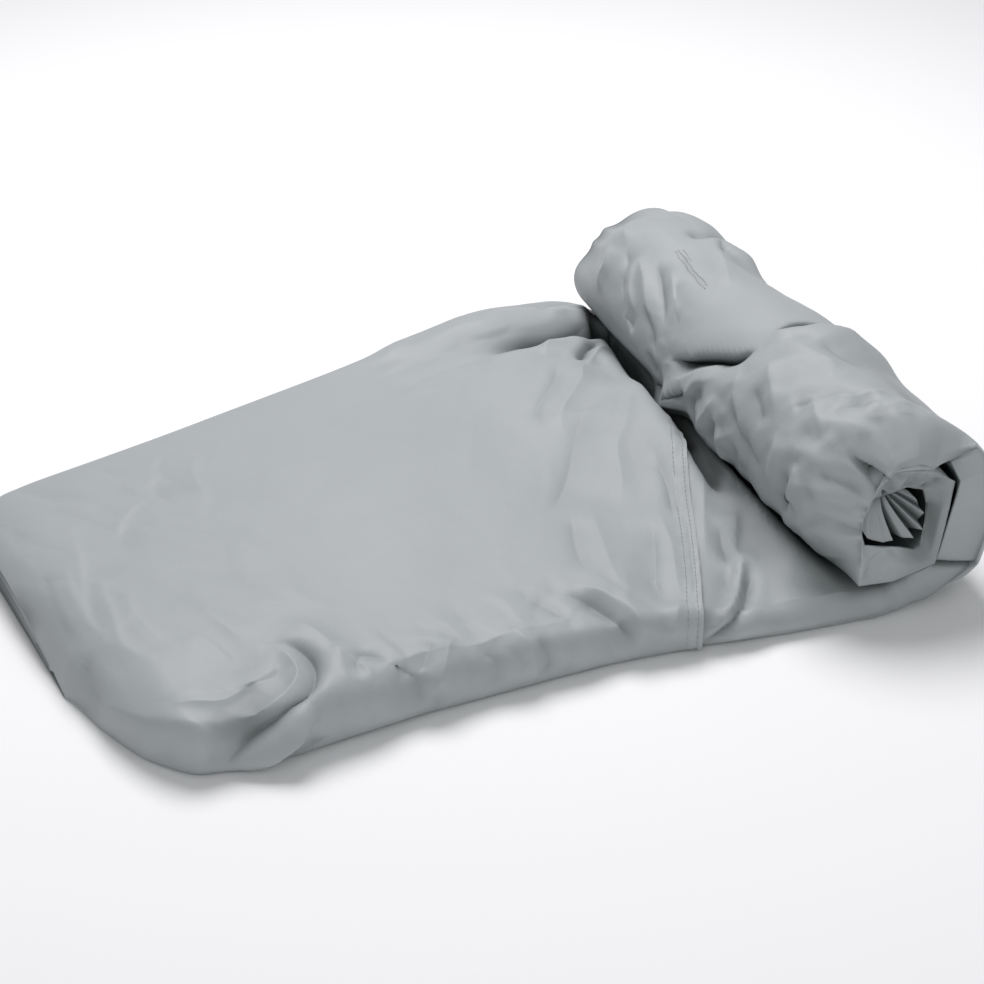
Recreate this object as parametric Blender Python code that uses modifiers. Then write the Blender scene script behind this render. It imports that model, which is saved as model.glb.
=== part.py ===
"""A boat cover of coated polyester, folded lengthwise into a soft flat band and rolled up at one end."""

import math
from collections import namedtuple

import bmesh
import bpy
from mathutils import Vector

# Driving sizes, in metres. The band runs along +X, its near side faces -Y, and it lies on z = 0.
CLOTH = 0.002                # thickness of the coated cloth with its hem folds
SEAM_LAP = 0.010             # how far one panel lies over the other at the cross seam
LAP_DROP = 0.0030            # from one panel's middle to the other's in the lap, with a small gap
SEAM_NEAR_X = 0.055          # the cross seam, at the near side
SEAM_FAR_X = 0.264           # and at the far side, under the roll
SEAM_BOW = 0.018             # how far the seam's middle curves towards the roll
LEAST_STACK = 0.014          # the folded stack pressed flat
END_SLANT = 0.012            # how much further along the band its open end lies on the far side
END_REACH = 0.180            # the stretch over which the lines across the band turn square

FLAT_END_X = -0.320          # short of this place the band's own stations are its sections
FLAT_START_X = -0.295        # from here to the seam its sections are evenly spaced
FLAT_STEPS = 7
LEAD_STEPS = 3               # sections between the seam and the roll

TURNS = 2.0                  # turns of the roll
PITCH = 0.030                # from one turn of the roll to the next
ROLL_STACK = 0.027           # height of the folded stack where the roll starts
CORE_STACK = 0.017           # and at the roll's core
ROLL_STEPS = 17              # sections in each turn
FLOOR_ANGLE = 18             # degrees of the first turn that rest on the floor
EDGE_ANGLE = 90              # degrees of the first turn over which its edges draw in
MEAN_SKIN = 0.071            # mean radius of the outer turn, for distances round it
ROOM_ANGLE = 330.0           # first guess of where the skin meets the band running in
ROOM_ROUNDS = 4
ROLL_NEAR_X = 0.2015         # the roll's axis passes over this place at the band's near edge
ROLL_FAR_X = 0.286           # and over this one at its far edge
ROLL_GAP = 0.005             # between the stack on the floor and the roll on it
BURIED = 0.008               # how far the flat layers reach into the wound ones

# The band: its two edges and the height of the folded stack, at stations along it.
Band = namedtuple("Band", "x near_y far_y near_height mid_height far_height")
BAND = [
    Band(-0.380, -0.050, 0.140, 0.018, 0.018, 0.016),
    Band(-0.373, -0.104, 0.180, 0.024, 0.030, 0.018),
    Band(-0.359, -0.154, 0.200, 0.036, 0.042, 0.026),
    Band(-0.332, -0.190, 0.212, 0.048, 0.050, 0.032),
    Band(-0.270, -0.202, 0.218, 0.050, 0.054, 0.036),
    Band(-0.190, -0.200, 0.226, 0.042, 0.056, 0.040),
    Band(-0.110, -0.205, 0.236, 0.038, 0.056, 0.044),
    Band(-0.030, -0.212, 0.247, 0.038, 0.054, 0.048),
    Band(0.055, -0.228, 0.259, 0.036, 0.050, 0.054),
    Band(0.125, -0.244, 0.268, 0.028, 0.056, 0.060),
    Band(0.210, -0.260, 0.274, 0.024, 0.040, 0.050),
    Band(0.300, -0.266, 0.250, 0.024, 0.030, 0.030),
]

# Broad ridges and troughs of the band, each along a line from one point to another.
Fold = namedtuple("Fold", "from_x from_y to_x to_y width rise")
BAND_FOLDS = [
    Fold(-0.310, -0.180, -0.285, -0.140, 0.030, -0.010),
    Fold(0.150, -0.080, 0.175, 0.060, 0.030, 0.014),
    Fold(0.105, -0.220, 0.150, -0.150, 0.020, -0.007),
]

# The roll from its near end to its far end: radius of its outer turn where it leaves the floor.
Roll = namedtuple("Roll", "along radius")
ROLL = [
    Roll(0.00, 0.0885),
    Roll(0.20, 0.0890),
    Roll(0.42, 0.0870),
    Roll(0.55, 0.0820),
    Roll(0.64, 0.0810),
    Roll(0.82, 0.0820),
    Roll(1.00, 0.0760),
]

# Broad ridges and troughs of the roll's outer turn, by angle in degrees from under the roll.
Twist = namedtuple("Twist", "from_angle from_along to_angle to_along width rise")
ROLL_TWISTS = [
    Twist(262, 0.53, 205, 0.39, 0.024, -0.010),
    Twist(205, 0.39, 130, 0.41, 0.022, -0.014),
    Twist(300, 0.42, 225, 0.28, 0.040, 0.005),
    Twist(155, 0.32, 130, 0.30, 0.024, 0.008),
    Twist(150, 0.50, 200, 0.62, 0.035, 0.003),
    Twist(140, 0.67, 150, 0.74, 0.022, 0.012),
    Twist(140, 0.86, 150, 0.90, 0.024, 0.005),
    Twist(50, 0.00, 45, 0.30, 0.028, 0.024),
    Twist(110, 0.00, 80, 0.10, 0.030, 0.010),
    Twist(145, 0.14, 145, 0.22, 0.030, -0.006),
    Twist(225, 1.00, 190, 1.00, 0.040, -0.012),
]

# The layers of the folded stack, in the order in which the cloth runs through them.
# The first runs from the far side to the near side, and each ends a little short of its edge.
Layer = namedtuple("Layer", "level end_inset cuts")
LAYERS = [
    Layer(0.00, 0.000, 4),
    Layer(1.00, 0.000, 7),
    Layer(0.22, 0.035, 4),
    Layer(0.78, 0.030, 6),
    Layer(0.44, 0.070, 4),
]
FREE_INSET = 0.045           # from the far side to the first layer's free edge
EDGE_CUTS = (5, 4, 3, 3)     # steps round each edge fold, outermost first
EDGE_SWELL = 0.8             # an edge fold's depth, for each metre of half its height
NEAR_SWELL = 1.6             # the same at the roll's near end, where the edges draw in
FAR_SWELL = 1.5              # and at its far end
SKIN_CUTS = 9                # steps across the wound stack
SKIN_EDGE_CUTS = 4           # steps round its edges

CLOTH_GREY = (0.42, 0.45, 0.46)


def along_table(rows, key, value, at):
    """Reads one column of a table at a place between its rows, on a smooth curve."""
    keys = [getattr(row, key) for row in rows]
    values = [getattr(row, value) for row in rows]
    if at <= keys[0]:
        return values[0]
    if at >= keys[-1]:
        return values[-1]
    i = max(k for k in range(len(keys) - 1) if keys[k] <= at)
    span = keys[i + 1] - keys[i]
    s = (at - keys[i]) / span
    before = slope(keys, values, i) * span
    after = slope(keys, values, i + 1) * span
    return (
        values[i] * (1 + 2 * s) * (1 - s) ** 2
        + before * s * (1 - s) ** 2
        + values[i + 1] * s * s * (3 - 2 * s)
        - after * s * s * (1 - s)
    )


def slope(keys, values, i):
    """The slope of a column at one row, level where the column turns."""
    if i in (0, len(keys) - 1):
        return 0.0
    left = (values[i] - values[i - 1]) / (keys[i] - keys[i - 1])
    right = (values[i + 1] - values[i]) / (keys[i + 1] - keys[i])
    if left * right <= 0:
        return 0.0
    return 2 * left * right / (left + right)


def mix(first, last, share):
    return first + (last - first) * share


def clamp(value):
    return min(max(value, 0.0), 1.0)


def ridge(a, b, start, end, width):
    """One on the line from start to end, falling off softly on all sides of it."""
    along_a = end[0] - start[0]
    along_b = end[1] - start[1]
    length = math.hypot(along_a, along_b)
    share = clamp(((a - start[0]) * along_a + (b - start[1]) * along_b) / length ** 2)
    off = math.hypot(a - start[0] - share * along_a, b - start[1] - share * along_b)
    return math.exp(-((off / width) ** 2))


def stack_height(x, y):
    """Height of the folded stack on the floor, lower where the roll rests on it."""
    near_y = along_table(BAND, "x", "near_y", x)
    far_y = along_table(BAND, "x", "far_y", x)
    near = along_table(BAND, "x", "near_height", x)
    middle = along_table(BAND, "x", "mid_height", x)
    far = along_table(BAND, "x", "far_height", x)
    t = clamp((y - near_y) / (far_y - near_y))
    crown = 2 * middle - (near + far) / 2
    height = near * (1 - t) ** 2 + crown * 2 * t * (1 - t) + far * t * t
    for fold in BAND_FOLDS:
        start = (fold.from_x, fold.from_y)
        end = (fold.to_x, fold.to_y)
        height += fold.rise * ridge(x, y, start, end, fold.width)
    return max(min(height, room_under_roll(x, y)), LEAST_STACK)


def room_under_roll(x, y):
    """Height over the floor of the roll's underside, at the side where the band runs in."""
    across = ROLL_FAR - ROLL_NEAR
    place = Vector((x, y, 0.0)) - ROLL_NEAR
    t = clamp(place.dot(across) / across.length_squared)
    reach = -place.dot(forward_of_roll())
    if reach <= 0:
        return ROLL_STACK
    radius = along_table(ROLL, "along", "radius", t)
    turned = ROOM_ANGLE
    for _ in range(ROOM_ROUNDS):
        skin = radius - PITCH * turned / 360 + twist_rise(turned, t)
        if reach >= skin:
            return 1.0
        turned = 360 - math.degrees(math.asin(reach / skin))
    return max(radius - math.sqrt(skin ** 2 - reach ** 2) - ROLL_GAP, LEAST_STACK)


def forward_of_roll():
    across = ROLL_FAR - ROLL_NEAR
    return Vector((across.y, -across.x, 0.0)).normalized()


def fold_path(width, height):
    """The centre line of the folded cloth in one section, as (across, up) pairs."""
    def up(u, level):
        return CLOTH / 2 + level * (height(clamp(u / width)) - CLOTH)

    path = []
    start = width - FREE_INSET
    side = -1
    for i, layer in enumerate(LAYERS):
        edge = layer.end_inset if side < 0 else width - layer.end_inset
        folds_over = i + 1 < len(LAYERS)
        depth = 0.0
        if folds_over:
            above = LAYERS[i + 1].level
            depth = abs(above - layer.level) * height(clamp(edge / width)) / 2 * EDGE_SWELL
        end = edge - side * depth
        for k in range(layer.cuts + 1):
            u = mix(start, end, k / layer.cuts)
            path.append((u, up(u, layer.level)))
        if folds_over:
            reach = side * (depth - CLOTH / 2)
            path += edge_fold(end, reach, up(end, layer.level), up(end, above), EDGE_CUTS[i])
        start = end
        side = -side
    return path


def edge_fold(start, depth, first, last, cuts):
    """The points between two layers, round their edge fold."""
    points = []
    for k in range(1, cuts):
        turn = math.pi * k / cuts
        up = (first + last) / 2 + (first - last) / 2 * math.cos(turn)
        points.append((start + depth * math.sin(turn), up))
    return points


def shifted(path, distance):
    """A section's line moved sideways, towards the inside of its outer folds."""
    steps = [(b[0] - a[0], b[1] - a[1]) for a, b in zip(path, path[1:])]
    sides = [(dv / math.hypot(du, dv), -du / math.hypot(du, dv)) for du, dv in steps]
    moved = []
    for i, (u, v) in enumerate(path):
        before = sides[max(i - 1, 0)]
        after = sides[min(i, len(sides) - 1)]
        spread = max(1 + before[0] * after[0] + before[1] * after[1], 0.5)
        u += distance * (before[0] + after[0]) / spread
        v += distance * (before[1] + after[1]) / spread
        moved.append((u, v))
    return moved


class Line:
    """A line across the band on the floor, from edge to edge, bowed along +X."""

    def __init__(self, near_x, far_x, bow=0.0):
        self.near = Vector((near_x, along_table(BAND, "x", "near_y", near_x), 0.0))
        self.far = Vector((far_x, along_table(BAND, "x", "far_y", far_x), 0.0))
        self.bow = bow

    def at(self, t):
        bulge = self.bow * 4 * clamp(t) * (1 - clamp(t))
        return self.near.lerp(self.far, t) + Vector((bulge, 0.0, 0.0))

    def towards(self, other, share):
        near_x = mix(self.near.x, other.near.x, share)
        far_x = mix(self.far.x, other.far.x, share)
        return Line(near_x, far_x, mix(self.bow, other.bow, share))


def square_line(x):
    far_x = x + END_SLANT * clamp((BAND[0].x + END_REACH - x) / END_REACH)
    return Line(x, far_x)


def seam_line(shift):
    """The cross seam, or a line beside it."""
    return Line(SEAM_NEAR_X + shift, SEAM_FAR_X + shift, SEAM_BOW)


def roll_line(shift):
    """The line along which the band leaves the floor, or one beside it."""
    return Line(ROLL_NEAR_X + shift, ROLL_FAR_X + shift)


ROLL_NEAR = roll_line(0.0).near
ROLL_FAR = roll_line(0.0).far


def floor_section(line, tuck=0.0):
    """The folded cloth along one line across the band, as points in space."""
    width = (line.far - line.near).length
    path = fold_path(width, lambda t: stack_height(*line.at(t).xy))
    return [line.at(u / width) + Vector((0.0, 0.0, v)) for u, v in shifted(path, tuck)]


def wound_ring(turned):
    """The outline of the wound stack at one angle in degrees, counted from under the roll."""
    across = ROLL_FAR - ROLL_NEAR
    width = across.length
    forward = forward_of_roll()
    share = turned / 360 / TURNS
    stack = mix(ROLL_STACK, CORE_STACK, clamp(share))
    curl = clamp(turned / EDGE_ANGLE)
    near_depth = stack / 2 * mix(EDGE_SWELL, NEAR_SWELL, curl)
    far_depth = stack / 2 * mix(EDGE_SWELL, FAR_SWELL, curl)

    skin = [mix(near_depth, width - far_depth, k / SKIN_CUTS) for k in range(SKIN_CUTS + 1)]
    ring = [(u, 0.0) for u in reversed(skin)]
    ring += edge_ring(near_depth, -near_depth, stack, 1)
    ring += [(u, 1.0) for u in skin]
    ring += edge_ring(width - far_depth, far_depth, stack, -1)

    angle = math.radians(turned)
    points = []
    for u, level in ring:
        t = u / width
        radius = along_table(ROLL, "along", "radius", clamp(t))
        relief = twist_rise(turned, t)
        reach = radius - PITCH * turned / 360 - level * stack + relief * (1 - level)
        up = Vector((0.0, 0.0, radius - math.cos(angle) * reach))
        points.append(ROLL_NEAR + across * t + forward * (math.sin(angle) * reach) + up)
    return points


def edge_ring(start, depth, stack, side):
    """Points round one edge of the stack, as (across, level) pairs, in the ring's order."""
    points = []
    for k in range(1, SKIN_EDGE_CUTS):
        turn = math.pi * k / SKIN_EDGE_CUTS
        level = 0.5 - 0.5 * math.cos(turn) * side
        points.append((start + depth * math.sin(turn), level))
    return points


def twist_rise(turned, t):
    """How far the skin stands out at one angle and one place along the roll; none where it rests."""
    if turned > 360:
        return 0.0
    width = (ROLL_FAR - ROLL_NEAR).length
    rise = 0.0
    for twist in ROLL_TWISTS:
        start = (math.radians(twist.from_angle) * MEAN_SKIN, twist.from_along * width)
        end = (math.radians(twist.to_angle) * MEAN_SKIN, twist.to_along * width)
        rise += twist.rise * ridge(math.radians(turned) * MEAN_SKIN, t * width, start, end, twist.width)
    return rise * clamp((turned - FLOOR_ANGLE) / FLOOR_ANGLE)


def open_sheet(name, sections):
    """Lofts sections into an open sheet and gives it the cloth's thickness."""
    mesh = bmesh.new()
    rows = [[mesh.verts.new(point) for point in section] for section in sections]
    for row, after in zip(rows, rows[1:]):
        for i in range(len(row) - 1):
            mesh.faces.new((row[i], row[i + 1], after[i + 1], after[i]))
    piece = mesh_object(name, mesh)
    shell = piece.modifiers.new("thickness", "SOLIDIFY")
    shell.thickness = CLOTH
    shell.offset = 0.0
    return piece


def wound_solid(name, rings):
    """Lofts closed rings into a solid, its ends filled strip by strip."""
    mesh = bmesh.new()
    rows = [[mesh.verts.new(point) for point in ring] for ring in rings]
    count = len(rows[0])
    for row, after in zip(rows, rows[1:]):
        for i in range(count):
            j = (i + 1) % count
            mesh.faces.new((row[i], row[j], after[j], after[i]))
    last = 2 * SKIN_CUTS + SKIN_EDGE_CUTS
    for row in (rows[0], rows[-1]):
        for k in range(SKIN_CUTS):
            mesh.faces.new((row[k], row[k + 1], row[last - k - 1], row[last - k]))
        mesh.faces.new([row[i] for i in range(SKIN_CUTS, SKIN_CUTS + SKIN_EDGE_CUTS + 1)])
        mesh.faces.new([row[i % count] for i in range(last, count + 1)])
    bmesh.ops.recalc_face_normals(mesh, faces=mesh.faces)
    return mesh_object(name, mesh)


def mesh_object(name, mesh):
    data = bpy.data.meshes.new(name)
    mesh.to_mesh(data)
    mesh.free()
    return bpy.data.objects.new(name, data)


def cloth_material(name):
    material = bpy.data.materials.new(name)
    material.use_nodes = True
    shader = material.node_tree.nodes["Principled BSDF"]
    shader.inputs["Base Color"].default_value = (*CLOTH_GREY, 1.0)
    shader.inputs["Roughness"].default_value = 0.5
    shader.inputs["Metallic"].default_value = 0.0
    return material


def flat_panel():
    """The band from its open end to the seam; the lines across it turn from square to slanted."""
    lines = [square_line(row.x) for row in BAND if row.x < FLAT_END_X]
    first = square_line(FLAT_START_X)
    last = seam_line(-3 * SEAM_LAP)
    lines += [first.towards(last, i / FLAT_STEPS) for i in range(FLAT_STEPS + 1)]
    lines += [seam_line(-SEAM_LAP), seam_line(0.0)]
    return open_sheet("flat_panel", [floor_section(line) for line in lines])


def rolled_panel(cutters):
    """From under the seam along the floor, then round and round into the roll."""
    sections = [floor_section(seam_line(-SEAM_LAP), LAP_DROP), floor_section(seam_line(0.0), LAP_DROP)]
    first = seam_line(SEAM_LAP)
    last = roll_line(0.0)
    sections += [floor_section(first.towards(last, i / LEAD_STEPS)) for i in range(LEAD_STEPS)]
    sections.append(floor_section(roll_line(-BURIED / 4)))
    sections.append(floor_section(roll_line(BURIED), CLOTH / 2))
    flat = open_sheet("flat_layers", sections)
    cutters.objects.link(flat)
    flat.hide_render = True
    flat.display_type = "WIRE"

    steps = round(TURNS * ROLL_STEPS)
    rings = [wound_ring(360 * TURNS * i / steps) for i in range(steps + 1)]
    piece = wound_solid("rolled_panel", rings)
    join = piece.modifiers.new("flat_layers", "BOOLEAN")
    join.solver = "EXACT"
    join.operation = "UNION"
    join.object = flat
    return piece


def settle(pieces):
    """Moves the pieces so that the origin is under the middle of their box."""
    bpy.context.view_layer.update()
    graph = bpy.context.evaluated_depsgraph_get()
    corners = [
        piece.matrix_world @ Vector(corner)
        for piece in pieces
        for corner in piece.evaluated_get(graph).bound_box
    ]
    low = Vector(min(corner[i] for corner in corners) for i in range(3))
    high = Vector(max(corner[i] for corner in corners) for i in range(3))
    centre = Vector(((low.x + high.x) / 2, (low.y + high.y) / 2, low.z))
    for item in bpy.data.objects:
        item.location -= centre
    return -centre


def main():
    for old in list(bpy.data.objects):
        bpy.data.objects.remove(old, do_unlink=True)
    home = bpy.data.collections.new("boat_cover")
    bpy.context.scene.collection.children.link(home)
    cutters = bpy.data.collections.new("cutters")
    bpy.context.scene.collection.children.link(cutters)
    pieces = [flat_panel(), rolled_panel(cutters)]
    for piece in pieces:
        home.objects.link(piece)
        piece.data.materials.append(cloth_material(piece.name + "_cloth"))
        piece.data.shade_smooth()
    return settle(pieces)


CENTRE_SHIFT = main()
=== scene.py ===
import math

import bmesh
import bpy
import numpy as np
from mathutils import Matrix, Vector


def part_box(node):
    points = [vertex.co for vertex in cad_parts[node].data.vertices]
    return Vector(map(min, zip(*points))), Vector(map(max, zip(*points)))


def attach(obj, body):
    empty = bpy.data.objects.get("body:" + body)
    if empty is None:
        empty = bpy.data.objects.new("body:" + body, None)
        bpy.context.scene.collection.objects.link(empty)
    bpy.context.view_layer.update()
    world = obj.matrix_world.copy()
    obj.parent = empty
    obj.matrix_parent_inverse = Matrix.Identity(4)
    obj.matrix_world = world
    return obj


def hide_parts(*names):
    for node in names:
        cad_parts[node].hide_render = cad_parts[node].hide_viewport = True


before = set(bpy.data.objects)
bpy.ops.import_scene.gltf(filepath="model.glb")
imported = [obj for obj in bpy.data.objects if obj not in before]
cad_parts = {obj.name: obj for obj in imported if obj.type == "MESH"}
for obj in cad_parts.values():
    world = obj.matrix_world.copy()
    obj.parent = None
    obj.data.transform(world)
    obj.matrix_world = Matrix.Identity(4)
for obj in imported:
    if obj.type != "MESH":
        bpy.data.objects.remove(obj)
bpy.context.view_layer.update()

# A boat cover of coated polyester, folded lengthwise into a flat band and rolled up at one end.
# Metres. The band runs along +X and its near side faces -Y, as in the solids.


def columns(names, rows):
    return dict(zip(names.split(), np.array(rows, float).T))


def scaled(table, lengths, points=1):
    # Rows of folds: their first numbers, and their points where asked, go from millimetres to metres.
    return [(*[n / 1000 for n in row[:lengths]], *row[lengths:-1], [(p / points, q / points) for p, q in row[-1]])
            for row in table]


# The band's outline and the height of its stack.
band = columns("x nearY farY nearHeight midHeight farHeight", [
    (-0.382, -0.044, 0.136, 0.003, 0.003, 0.003),
    (-0.3795, -0.056, 0.143, 0.012, 0.014, 0.010),
    (-0.373, -0.104, 0.180, 0.024, 0.030, 0.018),
    (-0.359, -0.154, 0.200, 0.036, 0.042, 0.026),
    (-0.332, -0.190, 0.212, 0.048, 0.050, 0.032),
    (-0.270, -0.202, 0.218, 0.050, 0.054, 0.036),
    (-0.190, -0.200, 0.226, 0.042, 0.056, 0.040),
    (-0.110, -0.205, 0.236, 0.038, 0.056, 0.044),
    (-0.030, -0.212, 0.247, 0.038, 0.054, 0.048),
    (0.055, -0.228, 0.259, 0.034, 0.050, 0.054),
    (0.125, -0.244, 0.268, 0.022, 0.056, 0.060),
    (0.210, -0.260, 0.274, 0.024, 0.040, 0.050),
    (0.300, -0.266, 0.250, 0.024, 0.030, 0.030),
])

seam = {
    "nearX": 0.048, "farX": 0.264, "bow": 0.025,
    "lap": 0.012, "drop": 0.0012,
    "stitchRows": (0.0035, 0.0115),      # distance back from the raised edge
    "stitchEnd": 230,                    # the last column of cloth that they cross
    "stitchFoot": 0.006,                 # height at which they start
    "edgeAt": 0.0010,
    "edgeWidth": 0.0018,
    "rowWidth": 0.0009,
    "lifts": (0.0008, 0.0024, 0.0006, 0.0004),   # of the strip and its edge, the dent of a row, and the waves
    "clear": 0.004,                      # below this height the seam lies flat
}
stitch = {"length": 0.0044, "pitch": 0.0052, "width": 0.0006, "height": 0.0005}

roll = {
    "nearX": 0.2015,
    "farX": 0.286,
    "radius": columns("along radius", [
        (0.00, 0.0885), (0.20, 0.0890), (0.42, 0.0870), (0.55, 0.0820),
        (0.64, 0.0810), (0.82, 0.0820), (1.00, 0.0760),
    ]),
    "pitch": 0.030,        # from one turn to the next
    "turns": 1.75,
    "stack": 0.027,        # height of the stack where it leaves the floor
    "coreStack": 0.017,
    "gap": 0.004,          # between the band and the roll on it
    "meanSkin": 0.075,     # radius by which distances round the skin are measured
    "floorAngle": 18,
    "over": (0.006, 0.005, 0.006),    # how far the cloth leans over each gap
}

leastStack = 0.012
sharpRise = 0.003      # the grid is drawn together beside creases of at least this rise


def curve(keys, values, at):
    # A smooth line through a table, level past its ends and at its turns.
    gaps = np.diff(keys)
    rises = np.diff(values) / gaps
    slopes = np.zeros(len(keys))
    total = rises[:-1] + rises[1:]
    agree = rises[:-1] * rises[1:] > 0
    slopes[1:-1] = np.where(agree, 2 * rises[:-1] * rises[1:] / np.where(agree, total, 1), 0)
    at = np.clip(at, keys[0], keys[-1])
    i = np.clip(np.searchsorted(keys, at, side="right") - 1, 0, len(keys) - 2)
    s = (at - keys[i]) / gaps[i]
    return (values[i] * (1 + 2 * s) * (1 - s) ** 2 + slopes[i] * gaps[i] * s * (1 - s) ** 2
            + values[i + 1] * s * s * (3 - 2 * s) - slopes[i + 1] * gaps[i] * s * s * (1 - s))


def bandAt(name, x):
    return curve(band["x"], band[name], x)


def smooth(low, high, at):
    s = np.clip((at - low) / (high - low), 0, 1)
    return s * s * (3 - 2 * s)


def mix(first, last, share):
    return first + (last - first) * share


def through(line, cuts=6):
    # A smooth line through the given points.
    pts = np.array(line, float)
    ends = np.concatenate([[2 * pts[0] - pts[1]], pts, [2 * pts[-1] - pts[-2]]])
    s = np.linspace(0, 1, cuts, endpoint=False)[:, None]
    parts = [0.5 * (2 * b + (c - a) * s + (2 * a - 5 * b + 4 * c - d) * s * s + (3 * b - a - 3 * c + d) * s ** 3)
             for a, b, c, d in zip(ends[:-3], ends[1:-2], ends[2:-1], ends[3:])]
    return np.concatenate(parts + [pts[-1:]])


def nearest(p, q, pts):
    # For each point, its way to the nearest place on a line, the side it is on, and that place's share of the line.
    wayP, wayQ = np.zeros(p.shape), np.zeros(p.shape)
    best, side, along = np.full(p.shape, 1e9), np.zeros(p.shape), np.zeros(p.shape)
    steps = np.hypot(*(pts[1:] - pts[:-1]).T)
    done = 0.0
    for start, end, length in zip(pts[:-1], pts[1:], steps):
        dx, dy = end - start
        s = np.clip(((p - start[0]) * dx + (q - start[1]) * dy) / length ** 2, 0, 1)
        ox = p - start[0] - s * dx
        oy = q - start[1] - s * dy
        d = np.hypot(ox, oy)
        nearer = d < best
        best = np.where(nearer, d, best)
        side = np.where(nearer, dx * oy - dy * ox, side)
        along = np.where(nearer, (done + s * length) / steps.sum(), along)
        wayP, wayQ = np.where(nearer, ox, wayP), np.where(nearer, oy, wayQ)
        done += length
    return best, side, along, wayP, wayQ


def around(a, b, pts, reach):
    low, high = pts.min(axis=0) - reach, pts.max(axis=0) + reach
    return (a > low[0]) & (a < high[0]) & (b > low[1]) & (b < high[1])


def crease(a, b, line, rise, left, right=None, sharp=1.4, fade=0.35):
    # A ridge (or a trough, if rise is below 0) along a line of points, with its own width on either side.
    right = left if right is None else right
    field = np.zeros(a.shape)
    pts = through(line)
    inside = around(a, b, pts, 3.2 * max(left, right))
    if inside.any():
        best, side, along, _, _ = nearest(a[inside], b[inside], pts)
        width = np.where(side > 0, left, right)
        ends = smooth(0, fade, along) * smooth(0, fade, 1 - along) if fade else 1.0
        field[inside] = rise * np.exp(-((best / width) ** sharp)) * ends
    return field


def gather(a, b, lines, reach, power=2.0, least=0.06):
    # Draws the grid's lines together beside sharp creases.
    for line in lines:
        pts = through(line)
        inside = around(a, b, pts, reach)
        best, _, _, wayA, wayB = nearest(a[inside], b[inside], pts)
        keep = np.clip(best / reach, least, 1) ** (power - 1)
        a, b = a.copy(), b.copy()
        a[inside] -= wayA * (1 - keep)
        b[inside] -= wayB * (1 - keep)
    return a, b


def lean(a, b, line, over, reach, fade=0.25):
    # How far the cloth left of a line leans over it, in each direction.
    shiftA, shiftB = np.zeros(a.shape), np.zeros(a.shape)
    pts = through(line)
    inside = around(a, b, pts, 6 * reach)
    best, side, along, wayA, wayB = nearest(a[inside], b[inside], pts)
    s = best / reach
    amount = over * np.where(side > 0, s * np.exp(1 - s), 0) * smooth(0, fade, along) * smooth(0, fade, 1 - along)
    shiftA[inside] = -wayA / np.maximum(best, 1e-6) * amount
    shiftB[inside] = -wayB / np.maximum(best, 1e-6) * amount
    return shiftA, shiftB


def crumple(a, b, seed, size, area, rise, turn=0.0, stretch=1.6, border=0.03):
    # Crumpled cloth: shallow bowls that meet in sharp ridges, less the same again, for sharp troughs.
    random = np.random.default_rng(seed)
    field = np.zeros(a.shape)
    inside = (a > area[0]) & (a < area[1]) & (b > area[2]) & (b < area[3])
    p, q = a[inside], b[inside]
    c, s = math.cos(turn), math.sin(turn)
    total = np.zeros(p.shape)
    for sign in (1, -1):
        count = int((area[1] - area[0]) * (area[3] - area[2]) / size ** 2 / stretch) + 3
        low = np.full(p.shape, 1e9)
        for _ in range(count):
            x, y = random.uniform(area[0], area[1]), random.uniform(area[2], area[3])
            start = random.uniform(0, 0.5)
            along = ((p - x) * c + (q - y) * s) / (size * stretch)
            across = ((q - y) * c - (p - x) * s) / size
            low = np.minimum(low, start + along ** 2 + across ** 2)
        total += sign * np.minimum(low, 2.0)
    edge = np.minimum(np.minimum(p - area[0], area[1] - p), np.minimum(q - area[2], area[3] - q))
    field[inside] = rise * total * smooth(0, border, edge)
    return field


# The band's folds, by x and y on the cloth, which runs on down the near side. All but the shares are in millimetres.
# Broad forms are rise, width, share over which their ends fade, and points.
# Creases are rise, width left and right of the line, and points.
bandForms = scaled([
    (-8, 30, 0, [(-310, -180), (-285, -140)]),
    (10, 30, 0, [(150, -60), (175, 60)]),
    (-5, 20, 0, [(105, -220), (150, -150)]),
    (6, 20, 0, [(40, 236), (100, 234), (160, 232), (240, 226)]),
    (-4, 22, 0.3, [(60, 200), (100, 196), (150, 192), (200, 190)]),
    # the lead swells up beside the roll
    (12, 20, 0.25, [(188, -40), (177, -100), (169, -150), (161, -200), (156, -235)]),
    # down into the gap beside the roll
    (-30, 11, 0.12, [(250, 245), (244, 215), (236, 165), (213, 100), (196, 40), (188, 10)]),
    (-30, 9, 0.3, [(206, 55), (193, 20), (181, -15), (170, -50), (160, -82), (152, -108)]),
    (-20, 12, 0.45, [(85, 196), (130, 193), (180, 196), (235, 205), (300, 215)]),
    (4, 12, 0, [(200, 160), (192, 110), (172, 50), (156, 0), (146, -40)]),
], 2, 1000)
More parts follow.
